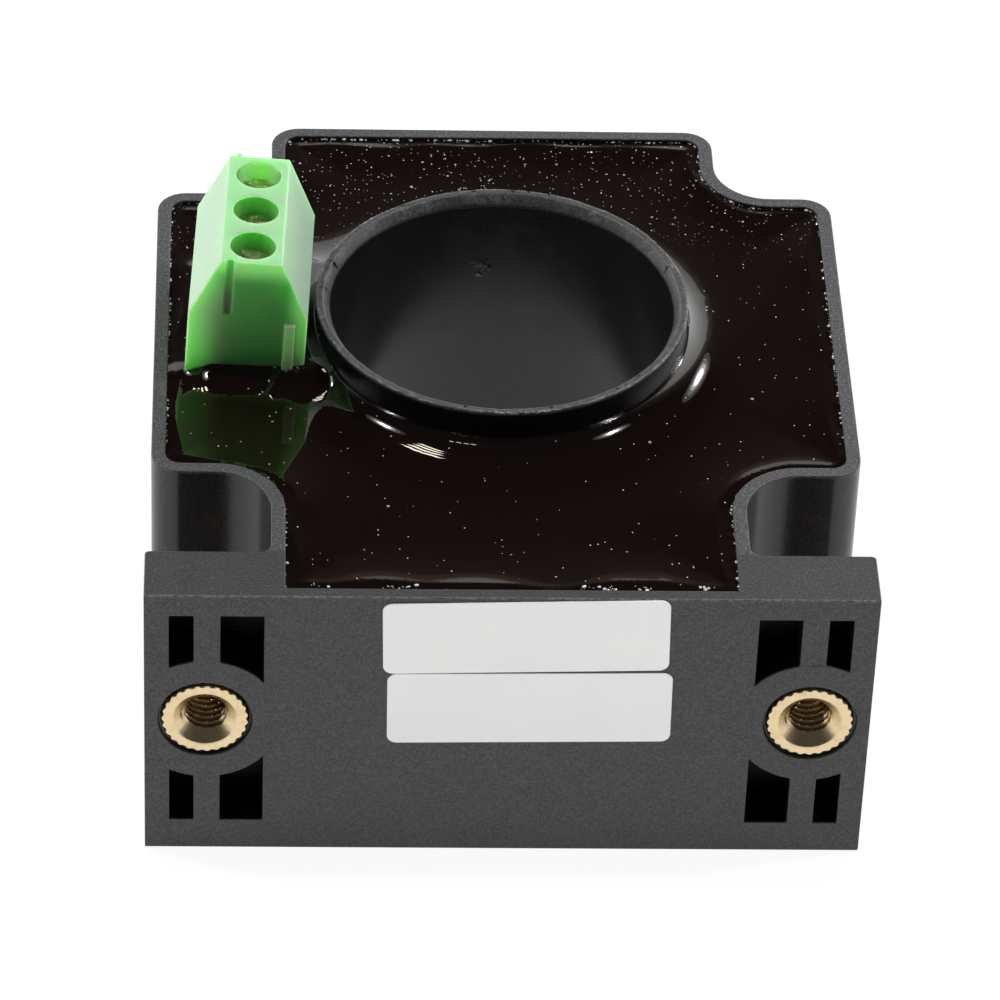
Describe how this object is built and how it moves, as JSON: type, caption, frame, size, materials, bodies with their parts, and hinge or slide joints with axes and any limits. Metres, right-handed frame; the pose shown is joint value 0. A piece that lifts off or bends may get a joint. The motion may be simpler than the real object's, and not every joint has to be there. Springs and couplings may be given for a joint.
{
  "type": "hall effect current sensor",
  "caption": "Panel-mount current sensor: potted plus-shaped housing with a round aperture, a mounting plate with threaded inserts and a screw terminal block.",
  "frame": {"origin": "on the aperture's axis, in the flat bottom of the housing", "axes": "+Z along the aperture, out of the resin-filled side; -Y out of the mounting plate; the terminal block is on the -X side"},
  "size_m": [0.06, 0.0657, 0.0393],
  "materials": {
    "housing_plastic": "matt moulded, finely speckled",
    "potting_resin": "mirror-glossy cast resin",
    "insert_brass": "bright machined",
    "label_paper": "matt white",
    "core_steel": "bare strip edges",
    "chip_plastic": "matt moulded",
    "tinned_metal": "tinned",
    "board_laminate": "satin lacquer",
    "trimmer_plastic": "moulded",
    "capacitor_can": "drawn",
    "chip_ceramic": "fired",
    "block_plastic": "satin moulded, slightly translucent",
    "clamp_metal": "nickel plated",
    "screw_metal": "yellow passivated"
  },
  "bodies": {
    "sensor": {"housing": "housing_plastic", "potting_compound": "potting_resin", "threaded_insert_left": "insert_brass", "threaded_insert_right": "insert_brass", "label_upper": "label_paper", "label_lower": "label_paper", "magnetic_core": "core_steel", "hall_element": "chip_plastic", "hall_element_leads": "tinned_metal", "circuit_board": "board_laminate", "amplifier_chip": "chip_plastic", "voltage_regulator": "chip_plastic", "polarity_diode": "chip_plastic", "offset_trimmer": "trimmer_plastic", "gain_trimmer": "trimmer_plastic", "supply_capacitor": "capacitor_can", "filter_capacitor": "capacitor_can", "resistors": "chip_ceramic", "ceramic_capacitors": "chip_ceramic", "terminal_block": "block_plastic", "terminal_pin_1": "tinned_metal", "terminal_pin_2": "tinned_metal", "terminal_pin_3": "tinned_metal"},
    "terminal_screw_1": {"terminal_screw_1": "screw_metal"},
    "wire_clamp_1": {"wire_clamp_1": "clamp_metal"},
    "terminal_screw_2": {"terminal_screw_2": "screw_metal"},
    "wire_clamp_2": {"wire_clamp_2": "clamp_metal"},
    "terminal_screw_3": {"terminal_screw_3": "screw_metal"},
    "wire_clamp_3": {"wire_clamp_3": "clamp_metal"}
  },
  "joints": [
    {"name": "screw_turn_1", "type": "hinge", "parent": "sensor", "child": "terminal_screw_1", "pos_m": [-0.02142, -0.0039, 0.03739], "axis": [-0.0505, 0.0022, -0.9987], "range_deg": [0, 1920]},
    {"name": "clamp_rise_1", "type": "slide", "parent": "sensor", "child": "wire_clamp_1", "axis": [0.0505, -0.0022, 0.9987], "range_m": [0, 0.0024]},
    {"name": "screw_turn_2", "type": "hinge", "parent": "sensor", "child": "terminal_screw_2", "pos_m": [-0.0212, 0.00117, 0.03739], "axis": [-0.0505, 0.0022, -0.9987], "range_deg": [0, 1920]},
    {"name": "clamp_rise_2", "type": "slide", "parent": "sensor", "child": "wire_clamp_2", "axis": [0.0505, -0.0022, 0.9987], "range_m": [0, 0.0024]},
    {"name": "screw_turn_3", "type": "hinge", "parent": "sensor", "child": "terminal_screw_3", "pos_m": [-0.02097, 0.00625, 0.03739], "axis": [-0.0505, 0.0022, -0.9987], "range_deg": [0, 1920]},
    {"name": "clamp_rise_3", "type": "slide", "parent": "sensor", "child": "wire_clamp_3", "axis": [0.0505, -0.0022, 0.9987], "range_m": [0, 0.0024]}
  ],
  "couplings": [
    {"joint": "screw_turn_1", "follows": "clamp_rise_1", "rad_per_m": 13963},
    {"joint": "screw_turn_2", "follows": "clamp_rise_2", "rad_per_m": 13963},
    {"joint": "screw_turn_3", "follows": "clamp_rise_3", "rad_per_m": 13963}
  ]
}
